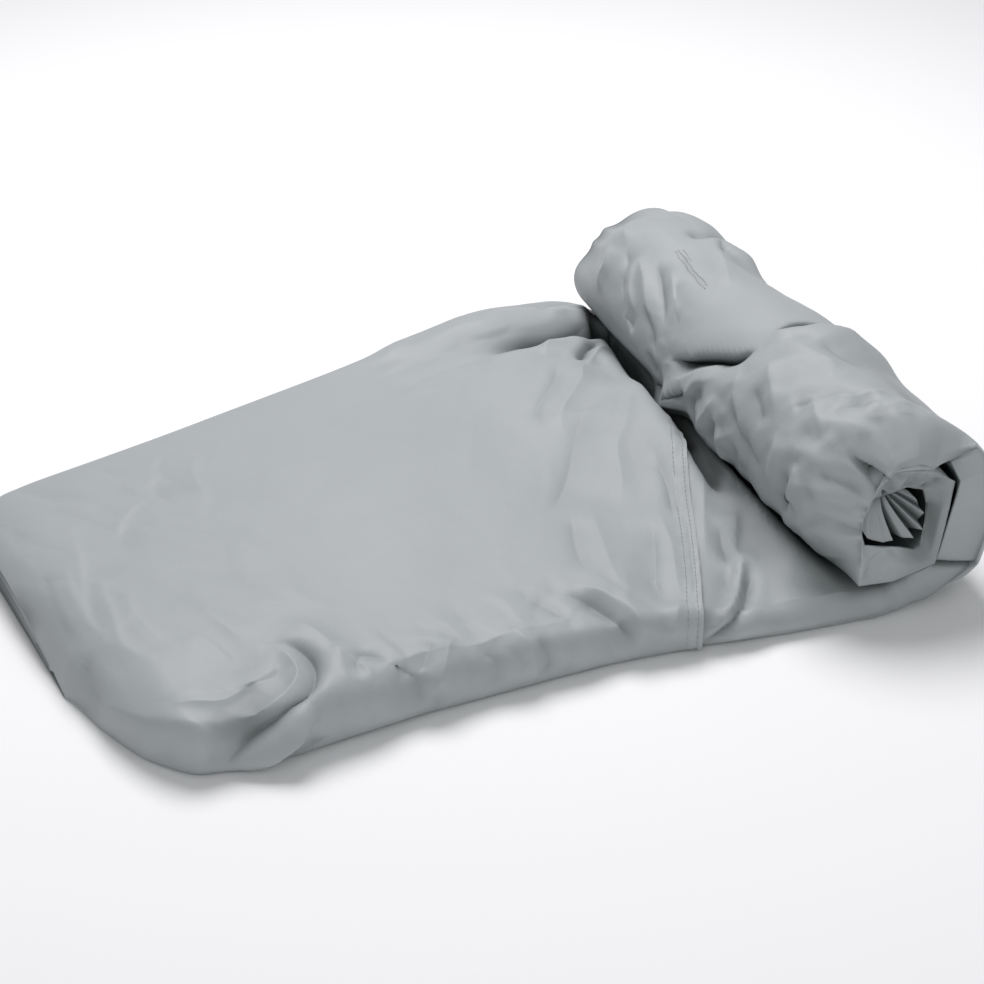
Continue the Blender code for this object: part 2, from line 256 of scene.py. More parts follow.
bandCreases = scaled([
    # the curled fold at the near corner
    (-13, 4, 12, [(-264, -122), (-248, -129), (-237, -143), (-236, -162), (-250, -184), (-280, -204),
                  (-312, -220), (-336, -246)]),
    (6, 12, 5, [(-258, -124), (-250, -142), (-252, -165), (-272, -182), (-305, -192)]),
    (4, 6, 14, [(-236, -100), (-222, -128), (-218, -160), (-228, -195)]),
    (10, 5, 7, [(-252, -206), (-275, -221), (-305, -238), (-328, -254)]),
    (-4, 4, 6, [(-244, -225), (-262, -240), (-290, -256)]),
    (4, 14, 5, [(-346, -150), (-330, -158), (-310, -165), (-285, -158), (-266, -165)]),
    (1.5, 3, 10, [(-300, -80), (-290, -110), (-284, -140)]),
    (1.5, 10, 4, [(-280, -50), (-275, -90), (-268, -120)]),
    # the slope at the open end
    (2, 5, 16, [(-312, 119), (-328, 53), (-345, 0), (-357, -43)]),
    (-1.5, 3, 10, [(-352, 70), (-362, 20), (-366, -20), (-362, -45)]),
    (1.5, 3, 10, [(-340, 60), (-348, 15), (-352, -30), (-350, -70)]),
    (-2.2, 4, 8, [(-366, -45), (-372, -75), (-374, -105)]),
    (1.5, 3, 8, [(-325, 30), (-335, -30), (-343, -70), (-335, -100)]),
    (1.5, 3, 10, [(-312, -5), (-322, -40), (-318, -90)]),
    (-1.5, 8, 3, [(-225, 150), (-238, 115), (-235, 85)]),
    (1.5, 3, 10, [(-205, 190), (-228, 150), (-222, 120)]),
    (1.5, 3, 9, [(-250, 115), (-278, 90), (-298, 60)]),
    (2.5, 6, 10, [(-178, 170), (-200, 130), (-210, 85), (-225, 65)]),
    # along the near side: the shoulder, and the folds that run down over it
    (3.5, 14, 6, [(-215, -176), (-190, -182), (-160, -178), (-140, -185), (-90, -187), (-60, -190),
                  (-30, -192)]),
    (-4, 5, 9, [(-216, -190), (-206, -168), (-196, -168), (-186, -184)]),
    (4, 10, 6, [(-222, -150), (-210, -166), (-206, -195)]),
    (-5, 6, 10, [(-190, -180), (-175, -195), (-172, -225)]),
    (4.5, 8, 8, [(-168, -220), (-155, -200), (-140, -182), (-128, -172)]),
    (-3.5, 8, 7, [(-172, -196), (-158, -182), (-148, -168)]),
    (-3, 6, 10, [(-122, -186), (-112, -208), (-116, -232)]),
    (4, 6, 9, [(-92, -180), (-84, -208), (-84, -236)]),
    (-4, 5, 8, [(-78, -196), (-70, -215), (-72, -235)]),
    (-3, 6, 9, [(-62, -158), (-50, -172), (-48, -190)]),
    (-9, 6, 8, [(-34, -160), (-20, -172), (-13, -190), (-9, -215), (-2, -240)]),
    (4.5, 7, 5, [(-20, -155), (-6, -176), (1, -205), (4, -236)]),
    (4, 6, 8, [(20, -240), (30, -220), (45, -205)]),
    # long soft folds from the roll down to the near side: each has a steep left face
    (5, 8, 20, [(172, 140), (146, 100), (125, 80), (100, 58), (90, 35)]),
    (-4.5, 14, 7, [(150, 145), (125, 110), (96, 85), (82, 65), (82, 40)]),
    (4.5, 10, 22, [(160, 48), (135, 15), (112, -10), (92, -48), (70, -80)]),
    (-4.5, 18, 10, [(140, 62), (108, 40), (82, 10), (58, -20), (30, -50), (10, -72)]),
    (3, 10, 16, [(55, -55), (35, -105), (18, -150), (8, -190)]),
    (-3, 12, 8, [(30, -70), (8, -115), (-4, -150)]),
    (-3.5, 6, 10, [(85, -100), (64, -140), (40, -178), (30, -215)]),
    (3, 8, 12, [(98, -85), (78, -140), (56, -180), (44, -210)]),
    (-3, 6, 4, [(130, -35), (118, -75), (98, -115)]),
    # the ridge and hook at the far side
    (-1.5, 1.5, 5, [(98, 217), (112, 211), (133, 211), (150, 218)]),
    (-4, 2, 6, [(150, 196), (175, 200), (200, 207), (230, 218)]),
    (-12, 6, 3, [(215, 176), (196, 166), (178, 150), (162, 136)]),
    (7, 6, 12, [(140, 150), (152, 168), (175, 178), (205, 182)]),
    (5, 3, 12, [(220, 165), (198, 154), (182, 140), (168, 124)]),
    (-2, 3, 5, [(205, 246), (190, 236), (178, 240)]),
    (2, 3, 6, [(215, 236), (200, 228), (186, 232)]),
], 3, 1000)
# Past the seam, on the cloth that runs in under the roll.
leadCreases = scaled([
    (3, 5, 8, [(158, -60), (142, -90), (116, -130), (94, -165)]),
    (-4, 6, 4, [(128, -132), (116, -155), (106, -178)]),
    (3, 4, 10, [(150, -125), (136, -145), (122, -165)]),
    (-2.5, 3, 4, [(160, -115), (148, -135), (136, -150), (120, -172)]),
    (13, 10, 4, [(130, -156), (116, -178), (99, -200), (80, -219), (60, -236), (44, -250)]),
    (-13, 4.5, 9, [(126, -176), (114, -194), (99, -212), (82, -229), (62, -246), (46, -262)]),
    (3.5, 12, 5, [(108, -222), (140, -236), (180, -244)]),
    (-3, 10, 10, [(170, -140), (180, -180), (176, -215)]),
    (3, 8, 8, [(200, -235), (196, -255), (190, -270)]),
], 3, 1000)


def formsOf(a, b, forms):
    return sum(crease(a, b, line, rise, width, sharp=2, fade=fade) for rise, width, fade, line in forms)


def creasesOf(a, b, creases, gentle=1.7):
    # The gentle side of each crease runs out further than its steep side, so the cloth between lies in facets.
    def widths(left, right):
        return left * (gentle if left > right else 1), right * (gentle if right > left else 1)

    return sum(crease(a, b, line, rise, *widths(left, right), 1.15, 0.3) for rise, left, right, line in creases)


def bandFolds(x, y):
    f = formsOf(x, y, bandForms) + creasesOf(x, y, bandCreases)
    # crumples, more of them near the ends and the seam
    f += crumple(x, y, 11, 0.022, (-0.39, -0.18, -0.12, 0.22), 0.0011, -1.2, 2.2, 0.05)
    f += crumple(x, y, 12, 0.016, (-0.38, 0.08, -0.27, -0.13), 0.0013, -1.4, 2.0)
    f += crumple(x, y, 13, 0.026, (-0.03, 0.24, -0.22, 0.18), 0.0010, -2.1, 3.2, 0.05)
    f += crumple(x, y, 14, 0.045, (-0.28, 0.10, -0.18, 0.24), 0.0007, -2.0, 2.4, 0.06)
    f += crumple(x, y, 15, 0.016, (0.00, 0.26, 0.15, 0.28), 0.0014, 0.1, 2.6)
    return f


def leadFolds(x, y):
    f = formsOf(x, y, bandForms) + creasesOf(x, y, leadCreases)
    return f + crumple(x, y, 16, 0.030, (-0.03, 0.24, -0.30, 0.18), 0.0008, -2.1, 3.0, 0.05)


rollNear = np.array([roll["nearX"], float(bandAt("nearY", roll["nearX"])), 0.0])
rollFar = np.array([roll["farX"], float(bandAt("farY", roll["farX"])), 0.0])
rollLength = float(np.hypot(*(rollFar - rollNear)[:2]))
rollAcross = (rollFar - rollNear) / rollLength
rollForward = np.array([rollAcross[1], -rollAcross[0], 0.0])


# The roll's folds: rise and widths in millimetres, and points by angle from under the roll and share along it.
rollForms = scaled([
    (5, 40, 0, [(300, 0.42), (225, 0.28)]),
    (6, 22, 0, [(155, 0.32), (130, 0.3)]),
    (3, 35, 0, [(150, 0.5), (200, 0.62)]),
    (8, 18, 0, [(138, 0.715), (152, 0.742)]),
    (-6, 9, 0, [(134, 0.79), (150, 0.782), (162, 0.785)]),
    (5, 24, 0, [(140, 0.86), (150, 0.9)]),
    (20, 28, 0, [(50, 0), (45, 0.3)]),
    (6, 30, 0, [(110, 0), (80, 0.1)]),
    (-6, 30, 0, [(145, 0.14), (145, 0.22)]),
    (-12, 40, 0, [(225, 1), (190, 1)]),
    (18, 16, 0, [(322, 0.64), (308, 0.6), (296, 0.56), (284, 0.53)]),
    # the near part runs in under the far part
    (-4, 16, 0, [(254, 0.5), (236, 0.44), (220, 0.385)]),
    # flats of the far end
    (-4, 22, 0, [(244, 1.1), (244, 1), (242, 0.93)]),
    (-2, 10, 0, [(219, 1.1), (219, 1), (219, 0.94)]),
    (-3, 18, 0, [(195, 1.1), (195, 1), (196, 0.94)]),
    (4, 12, 0, [(188, 0.345), (170, 0.35), (150, 0.335)]),
], 2)
# The deep gaps, from which the cloth on the left of the line bulges out.
rollGaps = scaled([
    (-19, 2, 9, [(208, 0.342), (218, 0.38), (228, 0.424), (240, 0.482), (252, 0.535), (260, 0.556)]),
    (-15, 2, 10, [(142, 0.34), (154, 0.366), (168, 0.378), (180, 0.376), (192, 0.358)]),
    (-12, 3, 9, [(262, 0.45), (270, 0.48), (282, 0.535), (292, 0.6), (304, 0.64)]),
], 3)
rollCreases = scaled([
    # gathered folds below the gap
    (5, 6, 9, [(226, 0.392), (238, 0.42), (250, 0.455), (262, 0.5), (268, 0.54)]),
    (6, 10, 5, [(238, 0.372), (252, 0.42), (266, 0.452), (284, 0.52), (300, 0.57)]),
    (-6, 6, 8, [(248, 0.395), (262, 0.43), (276, 0.44), (288, 0.42)]),
    (5, 8, 6, [(246, 0.352), (260, 0.36), (272, 0.385), (286, 0.4)]),
    (-6, 6, 10, [(262, 0.33), (270, 0.35), (282, 0.36), (292, 0.352)]),
    (5, 8, 6, [(266, 0.3), (276, 0.32), (288, 0.322), (296, 0.31)]),
    (-5, 6, 8, [(268, 0.27), (280, 0.285), (292, 0.275)]),
    (-5, 5, 8, [(298, 0.562), (296, 0.47), (290, 0.44)]),
    # long drapes on the far part
    (4, 6, 9, [(212, 0.8), (222, 0.73), (232, 0.69), (240, 0.655), (247, 0.62)]),
    (-5, 5, 10, [(206, 0.745), (216, 0.69), (228, 0.64), (240, 0.6)]),
    (4, 8, 5, [(202, 0.7), (212, 0.65), (222, 0.605), (232, 0.58)]),
    (-3, 5, 8, [(206, 0.668), (214, 0.635), (224, 0.6), (232, 0.56)]),
    (-3, 4, 10, [(214, 0.835), (225, 0.795), (236, 0.78), (247, 0.75)]),
    (4, 9, 5, [(214, 0.79), (228, 0.76), (238, 0.735), (250, 0.69)]),
    (-4, 5, 8, [(238, 0.69), (248, 0.645), (258, 0.625), (266, 0.61)]),
    (4, 8, 6, [(222, 0.88), (234, 0.85), (246, 0.85), (262, 0.84)]),
    (2, 10, 10, [(229, 1.1), (228, 0.95), (222, 0.78)]),
    (2, 10, 10, [(209, 1.1), (209, 0.95), (206, 0.8)]),
    (3, 8, 6, [(254, 0.74), (264, 0.7), (276, 0.68)]),
    (-5, 4, 8, [(270, 0.65), (278, 0.632), (286, 0.62)]),
    (-3, 4, 6, [(257, 0.735), (260, 0.705), (262, 0.69)]),
    (3, 10, 14, [(180, 0.96), (205, 0.88), (214, 0.83)]),
    # a tuck with stitching, and a dent at the top
    (-1.8, 3, 4, [(189, 0.748), (191, 0.7), (194, 0.665), (196, 0.585)]),
    (1.2, 3, 4, [(186, 0.745), (188, 0.7), (191, 0.665), (193, 0.59)]),
    (-5, 4, 6, [(150, 0.76), (154, 0.735), (156, 0.7)]),
    (4, 10, 14, [(160, 0.735), (168, 0.66), (184, 0.56)]),
    # the near part
    (-5, 9, 4, [(194, 0.078), (187, 0.072), (178, 0.067), (168, 0.06), (158, 0.052)]),
    (4, 8, 10, [(190, 0.105), (180, 0.092), (168, 0.082), (156, 0.074)]),
    (-3, 8, 5, [(207, 0.12), (197, 0.112), (188, 0.108), (178, 0.1)]),
    (3, 6, 10, [(200, 0.15), (188, 0.13), (176, 0.122), (166, 0.11)]),
    (-3, 4, 6, [(203, 0.066), (198, 0.056), (192, 0.056)]),
    (-2.5, 4, 7, [(227, 0.075), (215, 0.068), (207, 0.064)]),
    (-3, 6, 4, [(219, 0.182), (213, 0.172), (208, 0.176)]),
    (3, 8, 6, [(205, 0.18), (211, 0.145), (216, 0.11), (222, 0.085)]),
    (4, 8, 10, [(206, 0.3), (216, 0.262), (224, 0.22), (236, 0.19)]),
    (-3.5, 6, 9, [(226, 0.28), (234, 0.24), (244, 0.215)]),
    (3.5, 6, 9, [(222, 0.34), (236, 0.31), (248, 0.27), (262, 0.255)]),
    (-4, 6, 8, [(240, 0.31), (252, 0.285), (264, 0.23), (270, 0.19)]),
    (4, 6, 8, [(236, 0.18), (248, 0.16), (262, 0.16), (276, 0.17)]),
    (-5, 6, 9, [(252, 0.135), (262, 0.12), (274, 0.128), (288, 0.14)]),
    (4, 5, 9, [(243, 0.11), (252, 0.096), (262, 0.098), (274, 0.105)]),
    (3, 10, 14, [(198, 0.33), (186, 0.26), (180, 0.2)]),
    (-3, 8, 12, [(176, 0.3), (170, 0.24), (158, 0.2)]),
], 3)
# On the turned-in end of the skin, by angle and metres from the end. The first is a flap that hangs over the fold.
endCreases = scaled([
    (-11, 2, 10, [(187, -0.004), (194, 0.002), (201, 0.009), (209, 0.018), (217, 0.029)]),
    (3, 6, 6, [(218, 0.026), (205, 0.019), (194, 0.012), (182, 0.01), (170, 0.011), (156, 0.006),
               (140, 0.002)]),
    (-4, 9, 3, [(168, 0.01), (163, 0.006), (156, 0.002)]),
    (3, 6, 4, [(232, 0.04), (224, 0.026), (216, 0.012), (208, 0.002)]),
    (-3, 5, 7, [(242, 0.036), (236, 0.022), (232, 0.008)]),
    (3, 5, 7, [(254, 0.034), (250, 0.022), (246, 0.01)]),
    (-3, 3, 6, [(282, 0.002), (277, 0.01), (270, 0.02)]),
    (3, 4, 8, [(286, 0.004), (281, 0.014), (272, 0.027)]),
    (-2.5, 5, 8, [(312, 0.01), (298, 0.022), (284, 0.036)]),
], 3)


def onSkin(angle):
    return np.radians(angle) * roll["meanSkin"]


def overSkin(table, scale):
    # The same creases in metres round the skin and along it.
    return [(*row[:-1], [(math.radians(g) * roll["meanSkin"], t * scale) for g, t in row[-1]]) for row in table]


skinForms, skinGaps, skinCreases = [overSkin(table, rollLength) for table in (rollForms, rollGaps, rollCreases)]
skinEnd = overSkin(endCreases, 1.0)


def rollFolds(a, b):
    f = formsOf(a, b, skinForms)
    f += creasesOf(a, b, skinGaps + skinCreases, 1)
    f += crumple(a, b, 21, 0.018, (0.20, 0.42, 0.01, 0.20), 0.0016, 0.6)
    f += crumple(a, b, 22, 0.024, (0.14, 0.38, 0.27, 0.50), 0.0009, 1.5, 2.6)
    f += crumple(a, b, 23, 0.026, (0.03, 0.24, 0.01, 0.50), 0.0009, 1.2)
    f += crumple(a, b, 24, 0.011, (0.29, 0.43, 0.12, 0.33), 0.0012, 1.1, 2.2)
    floorAngle = math.radians(roll["floorAngle"]) * roll["meanSkin"]
    return f * smooth(floorAngle, 2.5 * floorAngle, a)


def roomUnderRoll(x, y):
    # Height of the roll's underside over the band that runs in under it.
    t = np.clip(((x - rollNear[0]) * rollAcross[0] + (y - rollNear[1]) * rollAcross[1]) / rollLength, 0, 1)
    reach = -((x - rollNear[0]) * rollForward[0] + (y - rollNear[1]) * rollForward[1])
    radius = curve(roll["radius"]["along"], roll["radius"]["radius"], t)
    turned = np.full(x.shape, 320.0)
    for _ in range(4):
        skin = radius - roll["pitch"] * turned / 360
        turned = 360 - np.degrees(np.arcsin(np.clip(reach / skin, 0, 1)))
    room = radius - np.sqrt(np.maximum(skin ** 2 - reach ** 2, 0)) - roll["gap"]
    room = np.where(reach >= skin, 1.0, room)
    return np.maximum(np.where(reach <= 0, roll["stack"], room), leastStack)


def stackHeight(x, y):
    nearY, farY = bandAt("nearY", x), bandAt("farY", x)
    near, middle, far = bandAt("nearHeight", x), bandAt("midHeight", x), bandAt("farHeight", x)
    t = np.clip((y - nearY) / (farY - nearY), 0, 1)
    crown = 2 * middle - (near + far) / 2
    height = near * (1 - t) ** 2 + crown * 2 * t * (1 - t) + far * t * t
    return np.maximum(height, 0.003)


# The layers of the stack, in the order in which the cloth runs through them: level, inset from the edge, cuts across
# and how much these crowd to the start. Edges are the share of a half circle that they swell, and cuts round them.
flatLayers = {
    "freeInset": 0.045,
    "square": 0.7,          # 1 is a round edge, less is squarer
    "layers": [(0.00, 0.000, 24, 1), (1.00, 0.000, 220, 1), (0.22, 0.035, 14, 1), (0.78, 0.030, 42, 1),
               (0.44, 0.070, 12, 1)],
    "edges": [(0.80, 30), (0.80, 12), (0.80, 6), (0.80, 6)],
}
rolledLayers = {
    "freeInset": 0.006,
    "square": 1.0,
    "layers": [(0.00, 0.000, 210, 1), (1.00, 0.000, 74, 1.3), (0.22, 0.035, 24, 1), (0.78, 0.030, 12, 1),
               (0.44, 0.070, 10, 1)],
    "edges": [(0.80, 22), (0.80, 10), (0.80, 5), (0.80, 4)],
}


def foldSection(width, heightAt, layered):
    # The folded cloth in sections of the given widths: distance across, level and height for each point.
    layers, edges = layered["layers"], layered["edges"]
    start = width - layered["freeInset"]
    side = -1
    us, levels, kinds = [], [], []
    for i, (level, inset, cuts, crowd) in enumerate(layers):
        edge = np.full(width.shape, inset) if side < 0 else width - inset
        last = i + 1 == len(layers)
        depth = 0.0
        if not last:
            above = layers[i + 1][0]
            swell, edgeCuts = edges[i]
            depth = abs(above - level) * heightAt(edge) / 2 * swell
        end = edge - side * depth
        for k in range(cuts + 1):
            us.append(mix(start, end, (k / cuts) ** crowd))
            levels.append(np.full(width.shape, level))
            kinds.append(i)
        if not last:
            for k in range(1, edgeCuts):
                turn = math.pi * k / edgeCuts
                us.append(end + side * depth * math.sin(turn) ** layered["square"])
                levels.append(np.full(width.shape, mix(level, above, 0.5 - 0.5 * math.cos(turn))))
                kinds.append(i + 0.5)
        start = end
        side = -side
    return np.array(us), np.array(levels), np.array(kinds)


def lineAcross(nearX, farX, bow, u, width):
    near = np.stack([nearX, bandAt("nearY", nearX)], axis=-1)
    far = np.stack([farX, bandAt("farY", farX)], axis=-1)
    t = u / width
    place = near + (far - near) * t[..., None]
    place[..., 0] += bow * 4 * np.clip(t, 0, 1) * (1 - np.clip(t, 0, 1))
    return place


def widthOf(nearX, farX):
    return np.hypot(farX - nearX, bandAt("farY", farX) - bandAt("nearY", nearX))


def normalsOf(points):
    # Outward normals of a grid whose columns run round the fold and whose rows run along the band.
    alongRows = np.gradient(points, axis=1)
    alongFold = np.gradient(points, axis=0)
    n = np.cross(alongRows, alongFold)
    return n / np.maximum(np.linalg.norm(n, axis=-1, keepdims=True), 1e-12)


def runOf(points):
    # How far the cloth has run in each column, from the first row.
    steps = np.linalg.norm(np.diff(points, axis=0), axis=-1)
    return np.concatenate([np.zeros((1, points.shape[1])), np.cumsum(steps, axis=0)])


def resample(field, row, column):
    # A grid's values at places between its points.
    i = np.clip(np.floor(column).astype(int), 0, field.shape[0] - 2)
    k = np.clip(np.floor(row).astype(int), 0, field.shape[1] - 2)
    p, q = column - i, row - k
    if field.ndim == 3:
        p, q = p[..., None], q[..., None]
    return (field[i, k] * (1 - p) * (1 - q) + field[i + 1, k] * p * (1 - q)
            + field[i, k + 1] * (1 - p) * q + field[i + 1, k + 1] * p * q)


def drawTogether(points, x, y, creases, reach=0.011, power=1.7):
    # The same surface, with its grid drawn together beside the creases.
    lines = [line for rise, _, _, line in creases if abs(rise) >= sharpRise]
    newX, newY = gather(x, y, lines, reach, power, 0.1)
    dx, dy = newX - x, newY - y
    xc, xr = np.gradient(x)
    yc, yr = np.gradient(y)
    size = xr * yc - xc * yr
    size = np.where(np.abs(size) < 1e-9, 1e-9, size)
    row = np.arange(x.shape[1])[None] + np.clip((dx * yc - dy * xc) / size, -5, 5)
    column = np.arange(x.shape[0])[:, None] + np.clip((dy * xr - dx * yr) / size, -5, 5)
    row[:, 0], row[:, -1] = 0, x.shape[1] - 1
    column[0], column[-1] = 0, x.shape[0] - 1
    row = np.clip(row, 0, x.shape[1] - 1)
    column = np.clip(column, 0, x.shape[0] - 1)
    return resample(points, row, column), resample(x, row, column), resample(y, row, column)


# How the cloth lies on the floor.
lying = {
    "foot": 0.35,               # level by which the near side's folds have their full height
    "farEdge": (0.3, 1.0),      # the same for the far side
    "trough": 0.8,              # share of the stack's height that a trough may take
    "innerHeight": 0.93,
    "innerSink": 1.4,           # how much deeper the inner layers sink than the trough over them
    "innerDrop": 0.0015,
    "leastInner": 0.002,
    "leastHeight": 0.0004,
    "dropFrom": 0.3,            # level from which the cloth past the seam lies lower
    # painted shade: the next four set where the cloth is painted darker beside the roll and in deep troughs
    "contactShade": 0.010,             # height under the roll at which the cloth starts to darken
    "entry": (0.004, 0.030),
    "darkFrom": 0.005,
    "darkOver": 0.012,
}


def floorPart(nearX, farX, bow, layered, creases, folds, drop=0.0):
    # Layers lying on the floor: base points, and how far the outer cloth stands off them.
    width = widthOf(nearX, farX)

    def heightAt(u):
        place = lineAcross(nearX, farX, bow, u, width)
        return stackHeight(place[..., 0], place[..., 1])

    u, level, kind = foldSection(width, heightAt, layered)
    place = lineAcross(nearX, farX, bow, u, width)
    height = heightAt(u)
    points = np.concatenate([place, (level * height)[..., None]], axis=-1)
    # how far the cloth has run down the near side, from where the top begins
    onEdge = (kind == 0.5)
    run = runOf(points)
    top = np.argmax(kind >= 1)
    down = np.where(onEdge[:, None], run[top] - run, 0.0)
    flatY = np.where(onEdge[:, None], points[top, :, 1] - down, points[..., 1])
    out = np.nonzero(onEdge | (kind == 1))[0]
    grid, x, y = drawTogether(points[out], points[out, :, 0], flatY[out], creases)
    points = points.copy()
    points[out] = grid
    foot = smooth(0.0, lying["foot"], level[out] + (kind[out] == 1)[:, None])
    relief = np.zeros(u.shape)
    relief[out] = folds(x, y) * foot
    # a trough stops short of the floor
    limit = lying["trough"] * height[out]
    relief[out] = np.where(relief[out] < 0, -limit * np.tanh(-relief[out] / limit), relief[out])
    farEdge = np.nonzero(kind == 1.5)[0]
    relief[farEdge] = folds(points[farEdge, :, 0], points[farEdge, :, 1]) * smooth(*lying["farEdge"], level[farEdge])
    moved = points + normalsOf(points) * relief[..., None]
    # the layers inside sink with the troughs of the outer cloth
    inner = np.nonzero(kind > 1.5)[0]
    sink = np.minimum(formsOf(points[inner, :, 0], points[inner, :, 1], bandForms)
                      + creasesOf(points[inner, :, 0], points[inner, :, 1], creases), 0)
    innerHeight = lying["innerHeight"] * height[inner] + lying["innerSink"] * sink - lying["innerDrop"]
    moved[inner, :, 2] = level[inner] * np.maximum(innerHeight, lying["leastInner"])
    # under the roll the stack gives way
    room = roomUnderRoll(moved[..., 0], moved[..., 1])
    free = level * room
    moved[..., 2] = np.where((kind[:, None] > 0) & (level > 0), np.minimum(moved[..., 2], free), moved[..., 2])
    moved[..., 2] = np.maximum(moved[..., 2] - drop * (level > lying["dropFrom"]), lying["leastHeight"])
    # painted shade: on the top where the roll comes down just over it, in deep troughs, and in creases
    contactShade = np.clip(1 - (room - moved[..., 2]) / lying["contactShade"], 0, 1) * smooth(*lying["entry"], u)
    contactShade *= (kind == 1)[:, None]
    troughShade = np.clip((-relief - lying["darkFrom"]) / lying["darkOver"], 0, 1)
    return moved, run, np.maximum(np.maximum(paintedShadeOf(relief), troughShade), contactShade)


# Painted shade in creases: rounds of smoothing, and the depth below the smoothed cloth at which it is darkest.
paintedShadeScales = ((10, 0.005), (60, 0.014))
paintedShadeMost = 0.6


def paintedShadeOf(relief):
    # How far each point lies below its surroundings, as painted shade.
    deep = np.zeros(relief.shape)
    soft = relief
    for rounds, depth in paintedShadeScales:
        for _ in range(rounds):
            for axis in (0, 1):
                soft = (soft + np.roll(soft, 1, axis) + np.roll(soft, -1, axis)) / 3
        deep = np.maximum(deep, paintedShadeMost * np.clip((soft - relief) / depth, 0, 1))
    return deep


def addObject(name, data):
    made = bpy.data.objects.new(name, data)
    bpy.context.scene.collection.objects.link(made)
    return made


def sheetMesh(name, points, run, paintedShade):
    # A sheet from a grid: its columns follow the fold and its rows the band's length.
    count, rows = points.shape[:2]
    mesh = bmesh.new()
    bmesh.ops.create_grid(mesh, x_segments=rows - 1, y_segments=count - 1, size=1.0)
    data = bpy.data.meshes.new(name)
    mesh.to_mesh(data)
    mesh.free()
    data.vertices.foreach_set("co", (points + frameShift).astype(np.float32).ravel())
    along = np.concatenate([[0], np.cumsum(np.linalg.norm(np.diff(points[count // 3], axis=0), axis=-1))])
    uv = np.stack([np.broadcast_to(along, (count, rows)), run], axis=-1).reshape(-1, 2)
    loops = np.zeros(len(data.loops), np.int32)
    data.loops.foreach_get("vertex_index", loops)
    layer = data.uv_layers.new(name="cloth")
    layer.data.foreach_set("uv", uv[loops].astype(np.float32).ravel())
    # the painted shade is stored on the points for the material
    shade = data.attributes.new("paintedShade", "FLOAT", "POINT")
    shade.data.foreach_set("value", paintedShade.astype(np.float32).ravel())
    data.update()
    data.shade_smooth()
    return addObject(name, data)


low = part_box("flat_panel")[0]
frameShift = np.array([low.x + 0.3809, low.y + 0.2274, 0.0])


# The flat panel's rows by where they meet the near side: sparse at the tip, dense on the slope, then on to the seam.
panelRows = {
    "tip": (-0.382, 6),
    "slope": (-0.374, 36),
    "even": (-0.295, 190),       # from here on the rows turn from straight across to along the seam
    "slant": 0.012,              # how far the far side is ahead of the near side at the tip
    "slantShare": 0.53,          # what is left of that where the rows start to turn
    "slantFrom": -0.380,
    "slantOver": 0.180,
}


def flatPanel():
    (tip, tipRows), (slope, slopeRows), (even, evenRows) = panelRows["tip"], panelRows["slope"], panelRows["even"]
    slant, over = panelRows["slant"], panelRows["slantOver"]
    nearX = np.concatenate([np.linspace(tip, slope, tipRows)[:-1], np.linspace(slope, even, slopeRows)[:-1],
                            np.linspace(even, seam["nearX"], evenRows)])
    ahead = slant * np.clip((panelRows["slantFrom"] + over - nearX) / over, 0, 1)
    share = np.clip((nearX - even) / (seam["nearX"] - even), 0, 1)
    farX = np.where(nearX < even, nearX + ahead, mix(even + slant * panelRows["slantShare"], seam["farX"], share))
    bow = seam["bow"] * share
    points, run, paintedShade = floorPart(nearX, farX, bow, flatLayers, bandCreases, bandFolds)
    # the felled seam: a strip raised over the lap, drawn in a little by its stitches
    back = np.cumsum(np.linalg.norm(np.diff(points[:, ::-1], axis=1), axis=-1), axis=1)[:, ::-1]
    back = np.concatenate([back, np.zeros((points.shape[0], 1))], axis=1)
    random = np.random.default_rng(5)
    wave = np.cumsum(random.uniform(0.3, 0.9, points.shape[0]))[:, None]
    strip = smooth(seam["lap"] + 0.002, seam["lap"] - 0.001, back)
    edge = np.exp(-((back - seam["edgeAt"]) / seam["edgeWidth"]) ** 2)
    rows = sum(np.exp(-((back - row) / seam["rowWidth"]) ** 2) for row in seam["stitchRows"])
    stripLift, edgeLift, rowDent, waveLift = seam["lifts"]
    lift = stripLift * strip + edgeLift * edge - rowDent * rows + waveLift * np.sin(wave) * strip
    points += normalsOf(points) * (lift * (points[..., 2] > seam["clear"]))[..., None]
    return sheetMesh("flatPanel", points, run, paintedShade), seamEdge(points, back)


